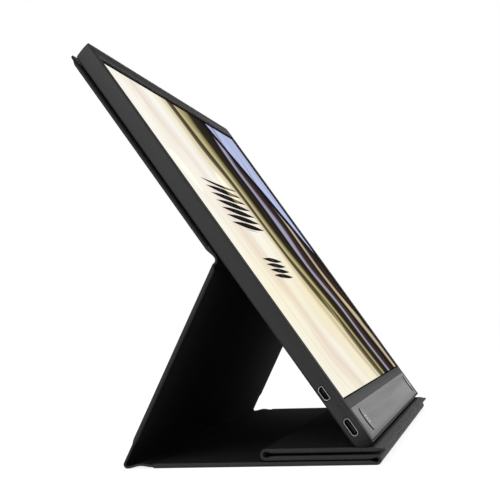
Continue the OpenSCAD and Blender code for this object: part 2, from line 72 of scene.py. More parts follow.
ACROSS = Vector((1, 0, 0))
UP = Vector((0, math.sin(TILT), math.cos(TILT)))
DEEP = Vector((0, math.cos(TILT), -math.sin(TILT)))
CHIN_LIFT = BODY_T * math.sin(TILT) - CHIN_R * (math.cos(TILT) + math.sin(TILT) - 1)
EDGE = Vector((0, BASE_FRONT + SET_BACK, FLAP_TOP + REST_GAP + CHIN_LIFT))


def on_face(x, up, deep=0.0):
    """Place on the display, in millimetres: along its width, up its face, and behind its face."""
    return Vector((x, 0, 0)) + EDGE + up * UP + deep * DEEP


# the leg's line and the two bends, as in the part's source
AXIS = on_face(0, FOLD_UP, BODY_T + PAD_T + PANEL_T / 2)
FOOT = Vector((0, BASE_REAR + SPINE_W, FOOT_BEND + STRIP_T / 2 + REST_GAP))
RUN = AXIS - FOOT
LEG_ANGLE = math.atan2(RUN.z, RUN.y) + math.asin(FOOT_BEND / RUN.length)
LEG_DIR = Vector((0, math.cos(LEG_ANGLE), math.sin(LEG_ANGLE)))
LEG_OUT = Vector((0, math.sin(LEG_ANGLE), -math.cos(LEG_ANGLE)))
LEG_START = FOOT + FOOT_BEND * LEG_OUT
LEG_TOP = math.sqrt(RUN.length ** 2 - FOOT_BEND ** 2)
TURN = LEG_ANGLE - math.pi / 2 + TILT
STRIP_DEEP = BODY_T + PAD_T + STRIP_T / 2
CORNER = AXIS + (BODY_T + PAD_T + PANEL_T / 2 - STRIP_DEEP) / math.sin(TURN) * LEG_DIR
BEND_START = CORNER - UPPER_BEND * math.tan(TURN / 2) * LEG_DIR
BEND_CENTRE = BEND_START + UPPER_BEND * LEG_OUT
UPPER_START = FOLD_UP + UPPER_GAP

# ---------------------------------------------------------------- camera
# solved from the casing's corners, the trim strip and the picture's edges in the photo
CAMERA_PLACE = (-0.8533, -0.1102, 0.0713)
YAW, PITCH, ROLL = math.radians(9.52), math.radians(2.27), math.radians(-1.87)
camera_data = bpy.data.cameras.new("camera")
camera_data.sensor_width = 36.0
camera_data.lens = 108.03
camera_data.clip_start = 0.01
camera_data.clip_end = 20.0
camera = bpy.data.objects.new("camera", camera_data)
bpy.context.scene.collection.objects.link(camera)
look = Vector((math.cos(PITCH) * math.cos(YAW), math.cos(PITCH) * math.sin(YAW), math.sin(PITCH)))
flat_right = look.cross(Vector((0, 0, 1))).normalized()
flat_up = flat_right.cross(look)
right = math.cos(ROLL) * flat_right + math.sin(ROLL) * flat_up
above = -math.sin(ROLL) * flat_right + math.cos(ROLL) * flat_up
camera.matrix_world = Matrix([
    (right[i], above[i], -look[i], CAMERA_PLACE[i]) for i in range(3)] + [(0, 0, 0, 1)])
bpy.context.scene.camera = camera


# ---------------------------------------------------------------- material helpers
def grey(level):
    return (level,) * 3


class Finish:
    """One material and the few calls that wire its nodes."""

    def __init__(self, name, **constants):
        self.material = bpy.data.materials.new(name)
        self.material.use_nodes = True
        self.tree = self.material.node_tree
        self.shader = self.tree.nodes["Principled BSDF"]
        for socket, value in constants.items():
            self.shader.inputs[socket.replace("_", " ")].default_value = value

    def add(self, kind, settings=None, **inputs):
        node = self.tree.nodes.new(kind)
        for key, value in (settings or {}).items():
            setattr(node, key, value)
        for key, value in inputs.items():
            self.feed(node, key.replace("_", " "), value)
        return node

    def feed(self, node, socket, value):
        target = node.inputs[socket]
        if isinstance(value, bpy.types.NodeSocket):
            self.tree.links.new(value, target)
        else:
            target.default_value = value

    def place(self, turn=(0, 0, 0), stretch=(1, 1, 1)):
        where = self.add("ShaderNodeTexCoord").outputs["Object"]
        return self.add("ShaderNodeMapping", Vector=where, Rotation=turn, Scale=stretch).outputs[0]

    def noise(self, vector, scale, detail, roughness=0.55):
        node = self.add("ShaderNodeTexNoise", Vector=vector, Scale=scale, Detail=detail, Roughness=roughness)
        return node.outputs["Fac"]

    def ramp(self, value, stops, smooth=False):
        node = self.add("ShaderNodeValToRGB", Fac=value)
        node.color_ramp.interpolation = "EASE" if smooth else "LINEAR"
        points = node.color_ramp.elements
        while len(points) > 1:
            points.remove(points[-1])
        for i, (place, colour) in enumerate(stops):
            point = points[0] if i == 0 else points.new(place)
            point.position = place
            point.color = (*colour, 1)
        return node.outputs["Color"]

    def mix(self, factor, a, b, mode="MIX"):
        node = self.add("ShaderNodeMix", {"data_type": "RGBA", "blend_type": mode})
        # the node's inputs 0, 6 and 7 are the factor and the two colours
        for index, value in ((0, factor), (6, a), (7, b)):
            if isinstance(value, bpy.types.NodeSocket):
                self.tree.links.new(value, node.inputs[index])
            else:
                node.inputs[index].default_value = value if index == 0 else (*value, 1)
        return node.outputs[2]

    def maths(self, operation, a, b=0.0, clamp=False):
        node = self.add("ShaderNodeMath", {"operation": operation, "use_clamp": clamp})
        self.feed(node, 0, a)
        self.feed(node, 1, b)
        return node.outputs[0]

    def bump(self, height, distance, strength):
        node = self.add("ShaderNodeBump", Height=height, Distance=distance, Strength=strength)
        self.tree.links.new(node.outputs[0], self.shader.inputs["Normal"])

    def product(self, first, *others):
        for other in others:
            first = self.maths("MULTIPLY", first, other)
        return first

    def tinted(self, colour, tint, factor=1.0):
        """A colour multiplied by a tint, wholly or in part."""
        return self.mix(factor, colour, tint, "MULTIPLY")

    def share(self, direction, start, length):
        """Share of a length covered along a direction from a start, both in millimetres."""
        dot = self.add("ShaderNodeVectorMath", {"operation": "DOT_PRODUCT"})
        self.tree.links.new(self.place(), dot.inputs[0])
        dot.inputs[1].default_value = tuple(direction)
        return self.maths("DIVIDE", self.maths("SUBTRACT", dot.outputs["Value"], start * MM), length * MM)

    def up_face(self, start=0.0, length=1.0):
        return self.share(UP, EDGE.dot(UP) + start, length)

    def behind_face(self, start=0.0, length=1.0):
        return self.share(DEEP, EDGE.dot(DEEP) + start, length)

    def from_left(self, start=0.0, length=1.0):
        return self.share(ACROSS, start - BODY_W / 2, length)

    def between(self, value, low, high):
        """1 where a value lies between two limits, else 0."""
        return self.product(self.maths("GREATER_THAN", value, low), self.maths("LESS_THAN", value, high))

    def into(self, socket, value):
        self.feed(self.shader, socket, value)


def grain_group():
    """Fine pebbled grain: cells of a given size, broken by noise, as a height and a tint."""
    group = bpy.data.node_groups.new("pebbled grain", "ShaderNodeTree")
    for label, way, kind in (
            ("Place", "INPUT", "NodeSocketVector"), ("Cells per metre", "INPUT", "NodeSocketFloat"),
            ("Height", "OUTPUT", "NodeSocketFloat"), ("Cloud", "OUTPUT", "NodeSocketFloat")):
        group.interface.new_socket(label, in_out=way, socket_type=kind)
    nodes, link = group.nodes, group.links.new
    start, end = nodes.new("NodeGroupInput"), nodes.new("NodeGroupOutput")
    cells = nodes.new("ShaderNodeTexVoronoi")
    cells.feature = "DISTANCE_TO_EDGE"
    warp = nodes.new("ShaderNodeTexNoise")
    warp.inputs["Scale"].default_value = 900.0
    warp.inputs["Detail"].default_value = 2.0
    moved = nodes.new("ShaderNodeMixRGB")
    moved.blend_type = "LINEAR_LIGHT"
    moved.inputs[0].default_value = 0.0006
    link(start.outputs["Place"], warp.inputs["Vector"])
    link(start.outputs["Place"], moved.inputs[1])
    link(warp.outputs["Color"], moved.inputs[2])
    link(moved.outputs[0], cells.inputs["Vector"])
    link(start.outputs["Cells per metre"], cells.inputs["Scale"])
    edge = nodes.new("ShaderNodeMapRange")
    edge.interpolation_type = "SMOOTHSTEP"
    edge.inputs["From Max"].default_value = 0.28
    link(cells.outputs["Distance"], edge.inputs["Value"])
    broad = nodes.new("ShaderNodeTexNoise")
    broad.inputs["Scale"].default_value = 60.0
    broad.inputs["Detail"].default_value = 3.0
    link(start.outputs["Place"], broad.inputs["Vector"])
    link(edge.outputs[0], end.inputs["Height"])
    link(broad.outputs["Fac"], end.inputs["Cloud"])
    return group


GRAIN = grain_group()


# ---------------------------------------------------------------- finishes
# where tones change, in millimetres: the key's rising side and the frame's left band, both painted shade, and
# the sockets' bright lips; then the painted shade in the wells round the sockets
KEY_RIM, BORDER_W, MOUTH_LIP = 0.12, 8.0, 0.40
MOUTH_RIM, WELL_DEEP, WELL_EDGE, RIM_BACK, WELL_HIGH = 0.18, 10.0, 1.0, 0.4, 45.4
FACE_TURN = (TILT - math.pi / 2, 0, 0)


def anodised_shell():
    f = Finish("anodised shell", Metallic=0.10, Specular_IOR_Level=0.16)
    where = f.place()
    speckle = f.noise(where, 5200.0, 2.0, 0.6)
    cloud = f.noise(where, 28.0, 3.0)
    base = f.mix(cloud, (0.043, 0.043, 0.0445), (0.051, 0.051, 0.0525))
    base = f.mix(f.product(speckle, 0.25), base, (0.070, 0.070, 0.0725))
    # painted light and shade: the side is painted paler towards its top, where light falls from above, and
    # dark where the chin turns under into shadow
    base = f.tinted(base, f.ramp(f.up_face(0, BODY_H), [
        (0.004, grey(0.08)), (0.018, grey(0.45)), (0.045, grey(0.96)), (0.30, grey(1.0)), (1.0, grey(1.32))]))
    # painted shade: the lip round the front is painted dark, where shade falls at the seam with the frame
    deep = f.behind_face()
    base = f.tinted(base, f.ramp(deep, [(0.30, grey(0.45)), (0.65, grey(1.0))]))
    # painted shade: the wells round the socket mouths are painted near black, as their insides lie in shadow
    painted_well_shade = f.product(f.between(f.from_left(), MOUTH_RIM, WELL_DEEP),
                     f.between(deep, WELL_EDGE, BODY_T - RIM_BACK),
                     f.maths("LESS_THAN", f.up_face(), WELL_HIGH))
    f.into("Base Color", f.mix(painted_well_shade, base, grey(0.004)))
    f.into("Roughness", f.ramp(speckle, [(0.3, grey(0.50)), (0.7, grey(0.62))]))
    f.bump(speckle, 0.00002, 0.5)
    return f.material


def frame_plastic():
    """Satin black, with painted shade darkening it along the display's left side."""
    f = Finish("satin frame plastic", Specular_IOR_Level=0.10)
    where = f.place()
    texture = f.noise(where, 3800.0, 3.0, 0.65)
    cloud = f.noise(where, 18.0, 2.0)
    # painted shade along the left edge, where the frame meets the casing's side
    painted_border_shade = f.ramp(f.from_left(0, BORDER_W), [(0.55, grey(0.42)), (1.0, grey(1.0))])
    f.into("Base Color", f.tinted(f.mix(cloud, (0.030, 0.030, 0.032), (0.037, 0.037, 0.039)), painted_border_shade))
    f.into("Roughness", f.ramp(texture, [(0.3, grey(0.50)), (0.7, grey(0.62))]))
    f.bump(texture, 0.00002, 0.6)
    return f.material


def brushed_trim():
    """Silver grey metal with fine lines along the display."""
    f = Finish("brushed trim", Metallic=0.06, Specular_IOR_Level=0.05, Anisotropic=0.4)
    lines = f.noise(f.place(turn=FACE_TURN, stretch=(14, 2400, 2400)), 1.0, 3.0, 0.7)
    fine = f.noise(f.place(turn=FACE_TURN, stretch=(60, 7000, 7000)), 1.0, 2.0, 0.6)
    both = f.product(f.maths("ADD", lines, fine), 0.5)
    f.into("Base Color", f.ramp(both, [(0.35, grey(0.34)), (0.65, grey(0.45))]))
    f.into("Roughness", f.ramp(both, [(0.3, grey(0.50)), (0.7, grey(0.64))]))
    f.bump(both, 0.000010, 0.6)
    return f.material


def key_cap():
    """Silver grey cap, painted dark as shade on the side that rises out of the strip."""
    f = Finish("key cap", Specular_IOR_Level=0.15)
    spun = f.noise(f.place(stretch=(900, 4200, 4200)), 1.0, 3.0, 0.6)
    face = f.ramp(spun, [(0.35, grey(0.36)), (0.65, grey(0.44))])
    # painted shade: below the cap's top face its rising side is painted near black, as it lies in shadow
    painted_wall_shade = f.maths("GREATER_THAN", f.behind_face(), KEY_RIM - BUTTON_OUT)
    f.into("Base Color", f.mix(painted_wall_shade, face, grey(0.008)))
    f.into("Roughness", f.ramp(spun, [(0.3, grey(0.46)), (0.7, grey(0.58))]))
    f.bump(spun, 0.000010, 0.6)
    return f.material


def socket_metal():
    """Bright pressed metal at the mouth; further in, painted shade: near black and not metallic, as the
    inside lies in shadow.
    """
    f = Finish("socket metal", Specular_IOR_Level=0.1)
    spots = f.noise(f.place(), 2500.0, 3.0)
    # painted shade past the mouth's lip, where the socket's inside lies in shadow
    inner = f.maths("GREATER_THAN", f.from_left(), MOUTH_LIP)
    bright = f.ramp(spots, [(0.35, grey(0.34)), (0.65, grey(0.42))])
    f.into("Metallic", f.maths("SUBTRACT", 1.0, inner))
    f.into("Base Color", f.mix(inner, bright, (0.010, 0.010, 0.011)))
    f.into("Roughness", f.ramp(spots, [(0.3, grey(0.24)), (0.7, grey(0.36))]))
    f.bump(spots, 0.00001, 0.4)
    return f.material


def cover_leather():
    f = Finish("cover leather", Specular_IOR_Level=0.18, Sheen_Weight=0.03, Sheen_Roughness=0.5)
    where = f.place()
    grain = f.add("ShaderNodeGroup", {"node_tree": GRAIN}, Place=where)
    f.feed(grain, "Cells per metre", 3000.0)
    tint = f.mix(grain.outputs["Cloud"], (0.046, 0.046, 0.047), (0.062, 0.062, 0.063))
    skin = f.mix(grain.outputs["Height"], (0.034, 0.034, 0.0345), tint)
    # painted shade: the upper panel's edge is painted dark next to the casing, which shades it
    painted_tucked_shade = f.ramp(f.behind_face(BODY_T + PAD_T, PANEL_T), [(0.25, grey(0.08)), (0.6, grey(1.1))])
    above_fold = f.maths("GREATER_THAN", f.up_face(), FOLD_UP + UPPER_GAP)
    f.into("Base Color", f.mix(above_fold, skin, f.tinted(skin, painted_tucked_shade)))
    f.into("Roughness", f.ramp(grain.outputs["Height"], [(0.0, grey(0.72)), (1.0, grey(0.50))]))
    f.bump(grain.outputs["Height"], 0.00005, 0.5)
    return f.material


def microfibre():
    f = Finish("microfibre lining", Specular_IOR_Level=0.05, Roughness=0.95,
               Sheen_Weight=0.02, Sheen_Roughness=0.6)
    where = f.place()
    nap = f.noise(where, 6500.0, 3.0, 0.7)
    stroke = f.noise(f.place(stretch=(22, 60, 60)), 1.0, 3.0)
    tint = f.mix(stroke, (0.0040, 0.0040, 0.0043), (0.0075, 0.0075, 0.0079))
    f.into("Base Color", f.mix(f.product(nap, 0.5), tint, (0.011, 0.011, 0.012)))
    f.bump(nap, 0.00008, 0.6)
    return f.material


# colours from the picture's far right (0) towards its left
PICTURE_BANDS = [
    (0.00, (0.20, 0.25, 0.58)), (0.04, (0.36, 0.42, 0.74)), (0.055, (0.010, 0.009, 0.010)),
    (0.13, (0.030, 0.019, 0.017)), (0.145, (0.62, 0.52, 0.38)), (0.16, (0.60, 0.50, 0.36)),
    (0.175, (0.010, 0.009, 0.011)), (0.25, (0.050, 0.030, 0.026)), (0.27, (0.38, 0.36, 0.52)),
    (0.29, (0.40, 0.38, 0.54)), (0.305, (0.010, 0.009, 0.009)), (0.38, (0.030, 0.022, 0.014)),
    (0.40, (0.34, 0.30, 0.14)), (0.43, (0.58, 0.52, 0.28)), (0.45, (0.035, 0.030, 0.018)),
    (0.49, (0.16, 0.13, 0.08)), (0.51, (0.78, 0.70, 0.48)), (0.57, (0.94, 0.88, 0.72)),
    (0.66, (1.0, 0.98, 0.92)), (0.74, (0.90, 0.80, 0.72)), (0.80, (0.98, 0.94, 0.84)),
    (0.90, (1.0, 0.97, 0.90))]
# stacks of leaves: left end and length along u, lower and upper limit along v, and how many
# would fill the picture's height
LEAF_STACKS = [(0.16, 0.30, 0.52, 0.68, 42.0), (0.20, 0.20, 0.36, 0.43, 56.0)]


def picture_screen():
    """The lit picture: a made-up sweep of curved bands, pale at the left and dark towards the right."""
    f = Finish("lit screen", Roughness=0.45, Specular_IOR_Level=0.0)
    # u runs 0 to 1 across the picture, v runs 0 to 1 up it
    u = f.from_left((BODY_W - PICTURE_W) / 2, PICTURE_W)
    v = f.up_face(PICTURE_UP, PICTURE_H)
    wide = f.product(u, PICTURE_W / PICTURE_H)
    flat = f.add("ShaderNodeCombineXYZ", X=wide, Y=v).outputs[0]
    # distance from a centre far beyond the right side, swayed a little, as 0 (near) to 1 (far)
    centre_x, centre_y, nearest, span = 4.5, 1.35, 2.72, 2.0
    dx = f.maths("SUBTRACT", wide, centre_x)
    dy = f.maths("SUBTRACT", v, centre_y)
    reach = f.maths("SQRT", f.maths("ADD", f.product(dx, dx), f.product(dy, dy)))
    turn = f.maths("ARCTAN2", dy, dx)
    sway = f.product(f.maths("SUBTRACT", f.noise(flat, 1.5, 1.5), 0.5), 0.30)
    ring = f.maths("ADD", f.maths("DIVIDE", f.maths("SUBTRACT", reach, nearest), span), sway)
    ground = f.ramp(ring, PICTURE_BANDS)
    patches = f.ramp(f.noise(flat, 3.2, 1.0), [(0.40, (0.74, 0.64, 0.50)), (0.58, (1, 1, 1))])
    warmth = f.ramp(v, [(0.10, (1.0, 0.985, 0.92)), (0.32, (1.0, 0.97, 0.84)), (0.60, (1, 1, 1))])
    ground = f.tinted(f.tinted(ground, patches, 0.14), warmth)
    # a pale blue corner with a dark border
    corner = f.maths("ADD", f.maths("ADD", u, f.product(v, 0.5)), f.product(sway, 0.6))
    blue = f.ramp(corner, [(0.0, (0.20, 0.26, 0.62)), (1.0, (0.50, 0.56, 0.84))])
    ground = f.mix(f.maths("GREATER_THAN", corner, 1.19), ground, (0.010, 0.009, 0.010))
    ground = f.mix(f.maths("GREATER_THAN", corner, 1.25), ground, blue)
    # two stacks of dark lens-shaped leaves over the pale part
    for first_u, length, low_v, high_v, leaves in LEAF_STACKS:
        along_leaf = f.maths("DIVIDE", f.maths("SUBTRACT", u, first_u), length, clamp=True)
        half_leaf = f.product(f.maths("SINE", f.product(along_leaf, math.pi)), 0.42)
        off_middle = f.maths("ABSOLUTE", f.maths("SUBTRACT", f.maths("FRACT", f.product(v, leaves)), 0.5))
        leaf = f.product(f.maths("LESS_THAN", off_middle, half_leaf), f.between(v, low_v, high_v))
        ground = f.mix(leaf, ground, (0.012, 0.010, 0.010))
    # fine threads of light and shade that follow the curves
    thread_place = f.add("ShaderNodeCombineXYZ", X=f.product(ring, 46.0), Y=f.product(turn, 3.0))
    threads = f.noise(thread_place.outputs[0], 1.0, 4.0, 0.62)
    shade = f.ramp(threads, [(0.36, (0.42, 0.36, 0.28)), (0.50, (1, 1, 1))])
    body = f.tinted(ground, shade, f.ramp(ring, [(0.42, grey(0.85)), (0.62, grey(0.16))]))
    gleam = f.ramp(threads, [(0.62, (0, 0, 0)), (0.76, (0.34, 0.31, 0.24))])
    body = f.mix(0.5, body, gleam, "ADD")
    # a few soft discs of out-of-focus light
    discs = f.add("ShaderNodeTexVoronoi", Vector=flat, Scale=3.4, Randomness=1.0)
    disc = f.ramp(discs.outputs["Distance"], [(0.24, (0.20, 0.17, 0.08)), (0.30, (0, 0, 0))], True)
    body = f.mix(f.maths("GREATER_THAN", f.noise(flat, 1.1, 0.0), 0.5), body, f.mix(1.0, body, disc, "ADD"))
    # black glass outside the picture
    inside = f.product(f.between(u, 0.0, 1.0), f.between(v, 0.0, 1.0))
    f.into("Base Color", f.mix(inside, (0.006, 0.006, 0.007), grey(0.004)))
    f.into("Emission Color", f.mix(inside, (0, 0, 0), body))
    f.shader.inputs["Emission Strength"].default_value = 0.98
    return f.material


def plain_detail(name, low, high, scale, roughness, depth=0.00002, **constants):
    """Finish of a small hidden or moulded part: two close tones and a fine surface."""
    f = Finish(name, **constants)
    spots = f.noise(f.place(), scale, 3.0)
    f.into("Base Color", f.ramp(spots, [(0.35, low), (0.65, high)]))
    f.into("Roughness", f.ramp(spots, [(0.3, grey(roughness - 0.06)), (0.7, grey(roughness + 0.06))]))
    f.bump(spots, depth, 0.5)
    return f.material


def circuit_board():
    f = Finish("circuit board", Specular_IOR_Level=0.5)
    where = f.place(turn=FACE_TURN, stretch=(420, 420, 420))
    kind = {"distance": "MANHATTAN", "feature": "DISTANCE_TO_EDGE"}
    cells = f.add("ShaderNodeTexVoronoi", kind, Vector=where, Scale=1.0)
    lines = f.ramp(cells.outputs["Distance"], [(0.04, grey(1)), (0.08, grey(0))])
    f.into("Base Color", f.mix(lines, (0.010, 0.055, 0.026), (0.026, 0.12, 0.05)))
    f.shader.inputs["Roughness"].default_value = 0.35
    f.bump(lines, 0.00003, 0.6)
    return f.material


def fibre_board():
    f = Finish("fibre board", Roughness=0.85, Specular_IOR_Level=0.2)
    fibres = f.noise(f.place(stretch=(300, 900, 900)), 1.0, 5.0, 0.7)
    f.into("Base Color", f.ramp(fibres, [(0.3, (0.16, 0.115, 0.07)), (0.7, (0.28, 0.21, 0.14))]))
    f.bump(fibres, 0.00006, 0.6)
    return f.material


LEATHER = cover_leather()
LINING = microfibre()
SHELL = anodised_shell()
FRAME = frame_plastic()
TRIM = brushed_trim()
BUTTON = key_cap()
PRINT = plain_detail("printed mark", grey(0.84), grey(0.92), 3000.0, 0.5)
THREAD = plain_detail("cover thread", grey(0.11), grey(0.14), 6000.0, 0.7)
GOLD = plain_detail("gold contact", (0.60, 0.42, 0.16), (0.72, 0.52, 0.22), 3000.0, 0.28, Metallic=1.0)
SOCKET_METAL = socket_metal()
SOCKET_PLASTIC = plain_detail("socket plastic", grey(0.006), grey(0.010), 3000.0, 0.5, Specular_IOR_Level=0.1)
STEEL = plain_detail("pressed steel", grey(0.40), grey(0.48), 900.0, 0.38, Metallic=1.0)
FILMS = plain_detail("light guide films", (0.72, 0.72, 0.70), (0.80, 0.80, 0.78), 60.0, 0.3)
CHIP = plain_detail("moulded chip", grey(0.010), grey(0.016), 4000.0, 0.6)
RIBBON = plain_detail("film ribbon", (0.42, 0.19, 0.035), (0.52, 0.25, 0.05), 700.0, 0.3)
FOAM = plain_detail("foam pad", grey(0.006), grey(0.012), 5000.0, 0.9, 0.0001)
NICKEL = plain_detail("nickel magnet", (0.52, 0.51, 0.49), (0.6, 0.59, 0.57), 700.0, 0.25, Metallic=1.0)
BOARD = circuit_board()
FIBRE = fibre_board()
SCREEN = picture_screen()

FINISH_OF = {
    "rear_shell": SHELL, "front_frame": FRAME, "trim_strip": TRIM, "lcd_panel": SCREEN,
    "backlight_unit": FILMS, "panel_tray": STEEL, "driver_board": BOARD, "display_cable": RIBBON,
    "main_board": BOARD, "board_chips": CHIP, "board_screws": STEEL, "usb_c_socket": SOCKET_METAL,
    "usb_c_tongue": SOCKET_PLASTIC, "micro_video_socket": SOCKET_METAL, "micro_video_tongue": SOCKET_PLASTIC,
    "power_board": BOARD, "button_switches": STEEL, "menu_button": BUTTON, "power_button": BUTTON,
    "adhesive_pad": FOAM, "flap_magnets": NICKEL,
}


def dress(obj, material):
    obj.data.materials.clear()
    obj.data.materials.append(material)


for node_name, node_object in NODES.items():
    if node_name.endswith("_board") and node_name.split("_")[0] in ("upper", "leg", "base", "middle", "flap"):
        dress(node_object, FIBRE)
    elif node_name.endswith("_lining"):
        dress(node_object, LINING)
    else:
        dress(node_object, FINISH_OF.get(node_name, LEATHER))


# ---------------------------------------------------------------- mesh helpers
def new_piece(name, mesh, material=None):
    """Object for a mesh. A copy of a CAD node's mesh already has its material."""
    obj = bpy.data.objects.new(name, mesh)
    bpy.context.scene.collection.objects.link(obj)
    if material:
        mesh.materials.append(material)
    return obj


def smooth_by_angle(mesh, degrees):
    mesh.polygons.foreach_set("use_smooth", [True] * len(mesh.polygons))
    bm = bmesh.new()
    bm.from_mesh(mesh)
    limit = math.radians(degrees)
    for edge in bm.edges:
        edge.smooth = not (len(edge.link_faces) == 2 and edge.calc_face_angle(0) > limit)
    bm.to_mesh(mesh)
    bm.free()
    mesh.update()


def bake_modifiers(obj):
    """Turns the evaluated object into a plain mesh and drops its modifiers."""
    evaluated = obj.evaluated_get(bpy.context.evaluated_depsgraph_get())
    mesh = bpy.data.meshes.new_from_object(evaluated)
    obj.modifiers.clear()
    old = obj.data
    obj.data = mesh
    bpy.data.meshes.remove(old)


# corners closer than WELD are joined; edges under FLAT_DEGREES go, over EASED_DEGREES are eased
WELD, FLAT_DEGREES, EASED_DEGREES = 2e-6, 0.6, 32


def softened_node(node, name, width, body, segments=2):
    """Copy of a CAD node with its sharp edges eased, which stands for the node."""
    mesh = NODES[node].data.copy()
    mesh.name = name
    bm = bmesh.new()
    bm.from_mesh(mesh)
    bmesh.ops.remove_doubles(bm, verts=bm.verts, dist=WELD)
    bmesh.ops.dissolve_limit(bm, angle_limit=math.radians(FLAT_DEGREES), verts=bm.verts, edges=bm.edges)
    bm.to_mesh(mesh)
    bm.free()
    mesh.polygons.foreach_set("use_smooth", [True] * len(mesh.polygons))
    obj = new_piece(name, mesh)
    bevel = obj.modifiers.new("eased edges", "BEVEL")
    bevel.width = width * MM
    bevel.segments = segments
    bevel.limit_method = "ANGLE"
    bevel.angle_limit = math.radians(EASED_DEGREES)
    bevel.harden_normals = True
    bevel.use_clamp_overlap = True
    bake_modifiers(obj)
    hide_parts(node)
    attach(obj, body)


def ease(t):
    t = min(max(t, 0.0), 1.0)
    return t * t * (3 - 2 * t)


ROUND_STEPS, CORNER_STEPS, WIDTH_STEPS, SMOOTH_DEGREES = 5, 6, 24, 40
# least step between columns, share of the half thickness that rounding may take, allowance in a
# comparison of lengths, and weld distance
LEAST_STEP, MOST_PULL, SPARE, STRIP_WELD = 0.05, 0.98, 0.01, 1e-6


def loft_strip(name, path, half_width, material, edge_round, corner=0.0, lined=None):
    """Lofts a flexible sheet across X.

    path is a list of (place, normal, low, high): the sheet's faces lie low and high along the
    normal. The long edges at X's two ends are rounded; corner rounds the free end seen flat.
    lined names the face ("low" or "high") that takes the lining's finish inside the turned edges.
    """
    def quarter(steps):
        return [k / steps * math.pi / 2 for k in range(steps + 1)]

    # from the outermost ring inwards: place along X and how far the faces are drawn in
    across = [(half_width - edge_round * (1 - math.cos(a)), edge_round * (1 - math.sin(a)))
              for a in quarter(ROUND_STEPS)]
    if corner > 0:
        inner = [half_width - corner * (1 - math.cos(a)) for a in quarter(CORNER_STEPS)[1:]]
        across += [(x, 0.0) for x in inner if x < across[-1][0] - LEAST_STEP]
    if lined:
        across.append((half_width - RIM_W, 0.0))
    middle = [(across[-1][0] * (1 - 2 * k / WIDTH_STEPS), 0.0) for k in range(1, WIDTH_STEPS)]
    columns = across + middle + [(-x, draw) for x, draw in reversed(across)]
    bm = bmesh.new()
    grid = []
    lengths = [0.0]
    for (p, _, _, _), (q, _, _, _) in zip(path, path[1:]):
        lengths.append(lengths[-1] + (q - p).length)
    for x, draw in columns:
        near = half_width - abs(x)
        cut = 0.0
        if near < corner:
            cut = corner - math.sqrt(max(corner ** 2 - (corner - near) ** 2, 0.0))
        ring = []
        for side in (0, 1):
            order = range(len(path)) if side == 0 else range(len(path) - 1, -1, -1)
            for i in order:
                place, normal, low, high = path[i]
                pull = min(draw, (high - low) / 2 * MOST_PULL)
                height = low + pull if side == 0 else high - pull
                if lengths[-1] - lengths[i] < cut:
                    # slide the free end's points back to the rounded corner
                    back = cut - (lengths[-1] - lengths[i])
                    place = place - back * (path[-1][0] - path[-2][0]).normalized()
                point = place + height * normal
                ring.append(bm.verts.new(((x + point.x) * MM, point.y * MM, point.z * MM)))
        grid.append(ring)
    size = len(grid[0])
    half = len(path)
    lined_faces = {"low": range(half - 1), "high": range(half, 2 * half - 1)}.get(lined, ())
    for c, (first, second) in enumerate(zip(grid, grid[1:])):
        within = max(abs(columns[c][0]), abs(columns[c + 1][0])) < half_width - RIM_W + SPARE
        for j in range(size):
            k = (j + 1) % size
            face = bm.faces.new((first[j], first[k], second[k], second[j]))
            face.material_index = int(within and j in lined_faces)
    for ring in (grid[0], grid[-1]):
        for j in range(half - 1):
            bm.faces.new((ring[j], ring[j + 1], ring[size - 2 - j], ring[size - 1 - j]))
    bmesh.ops.remove_doubles(bm, verts=bm.verts, dist=STRIP_WELD)
    bmesh.ops.recalc_face_normals(bm, faces=bm.faces)
    mesh = bpy.data.meshes.new(name)
    bm.to_mesh(mesh)
    bm.free()
    obj = new_piece(name, mesh, material)
    if lined:
        mesh.materials.append(LINING)
    smooth_by_angle(mesh, SMOOTH_DEGREES)
    return obj


# a free end is rounded over END_ROUND, down to LEAST_HALF of half thickness
END_ROUND, LEAST_HALF = 0.5, 0.02


def panel_faces(y, length, end0, end1):
    """Heights of a panel's skin face and lining face above its skin plane, at a place along it.

    Each end is (side, thickness, hem, taper): where the thin strip lies in the panel (0 at the
    skin, 1 at the lining), how thick it is, how long it runs straight, and the length over which
    the panel thins to it.
    """
    (side0, thin0, hem0, taper0), (side1, thin1, hem1, taper1) = end0, end1
    slim0 = (PANEL_T - thin0) * (1 - ease((y - hem0) / taper0))
    slim1 = (PANEL_T - thin1) * (1 - ease((length - hem1 - y) / taper1))
    return slim0 * side0 + slim1 * side1, PANEL_T - slim0 * (1 - side0) - slim1 * (1 - side1)


def panel_breaks(length, end0, end1, free=False):
    """Places along a panel where its faces are set: close together where it thins or rounds off."""
    start, end = end0[2] + end0[3], length - end1[2] - end1[3]
    breaks = [0.0, end0[2], length - end1[2], length]
    breaks += [end0[2] + end0[3] * k / 8 for k in range(1, 9)]
    breaks += [start + (end - start) * k / 16 for k in range(1, 17)]
    breaks += [end + end1[3] * k / 8 for k in range(1, 9)]
    if free:
        breaks += [length - d for d in (END_ROUND, 0.38, 0.26, 0.15, 0.07, 0.02)]
    return sorted(set(round(b, 4) for b in breaks))


def panel_path(place, length, end0, end1, free=False):
    """Path of a stiff panel for loft_strip; a free end is rounded off.

    place(y) gives a point on the skin's plane and the normal towards the lining.
    """
    points = []
    for y in panel_breaks(length, end0, end1, free):
        low, high = panel_faces(y, length, end0, end1)
        if free and length - y < END_ROUND:
            half = (high - low) / 2
            room = half * math.sqrt(max(1 - (1 - (length - y) / END_ROUND) ** 2, 0.0))
            middle = (low + high) / 2
            low, high = middle - max(room, LEAST_HALF), middle + max(room, LEAST_HALF)
        base, normal = place(y)
        points.append((base, normal, low, high))
    return points


